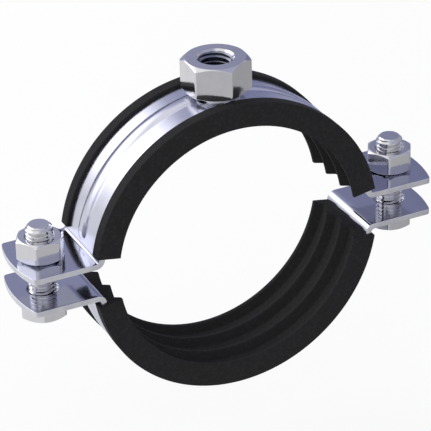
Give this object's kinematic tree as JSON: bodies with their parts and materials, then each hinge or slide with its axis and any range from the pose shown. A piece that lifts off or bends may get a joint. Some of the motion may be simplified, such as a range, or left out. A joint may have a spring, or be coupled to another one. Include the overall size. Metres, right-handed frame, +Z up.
{
  "type": "pipe clamp",
  "caption": "Split pipe clamp with a ribbed rubber lining, folded ears closed by bolts and nuts, and a threaded connection nut on top to hang it from a rod.",
  "frame": {"origin": "centre of the pipe bore, on the plane where the two halves part", "axes": "+X from the bore to one ear, +Y along the pipe, +Z up to the connection nut"},
  "size_m": [0.1314, 0.0264, 0.101],
  "materials": {
    "band_steel": "bright zinc-plated sheet",
    "fastener_steel": "bright zinc-plated, cold formed",
    "rubber": "matt black extruded rubber"
  },
  "bodies": {
    "upper_half": {"upper_band": "band_steel", "upper_lining": "rubber", "connection_nut": "fastener_steel"},
    "lower_half": {"lower_band": "band_steel", "lower_lining": "rubber"},
    "bolt_left": {"bolt_left": "fastener_steel"},
    "bolt_right": {"bolt_right": "fastener_steel"},
    "nut_left": {"nut_left": "fastener_steel"},
    "nut_right": {"nut_right": "fastener_steel"}
  },
  "joints": [
    {"name": "clamp_close", "type": "slide", "parent": "upper_half", "child": "lower_half", "axis": [0, 0, 1], "range_m": [-0.0034, 0.0084]},
    {"name": "nut_left_turn", "type": "hinge", "parent": "upper_half", "child": "nut_left", "pos_m": [-0.0567, 0, 0.009], "axis": [0, 0, 1], "range_deg": [-2430, 990]},
    {"name": "nut_right_turn", "type": "hinge", "parent": "upper_half", "child": "nut_right", "pos_m": [0.0567, 0, 0.009], "axis": [0, 0, 1], "range_deg": [-2430, 990]},
    {"name": "bolt_left_turn", "type": "hinge", "parent": "lower_half", "child": "bolt_left", "pos_m": [-0.0567, 0, -0.009], "axis": [0, 0, 1], "continuous": true},
    {"name": "bolt_right_turn", "type": "hinge", "parent": "lower_half", "child": "bolt_right", "pos_m": [0.0567, 0, -0.009], "axis": [0, 0, 1], "continuous": true}
  ],
  "couplings": [
    {"joint": "nut_left_turn", "follows": "clamp_close", "rad_per_m": -5026.5},
    {"joint": "nut_right_turn", "follows": "clamp_close", "rad_per_m": -5026.5}
  ]
}
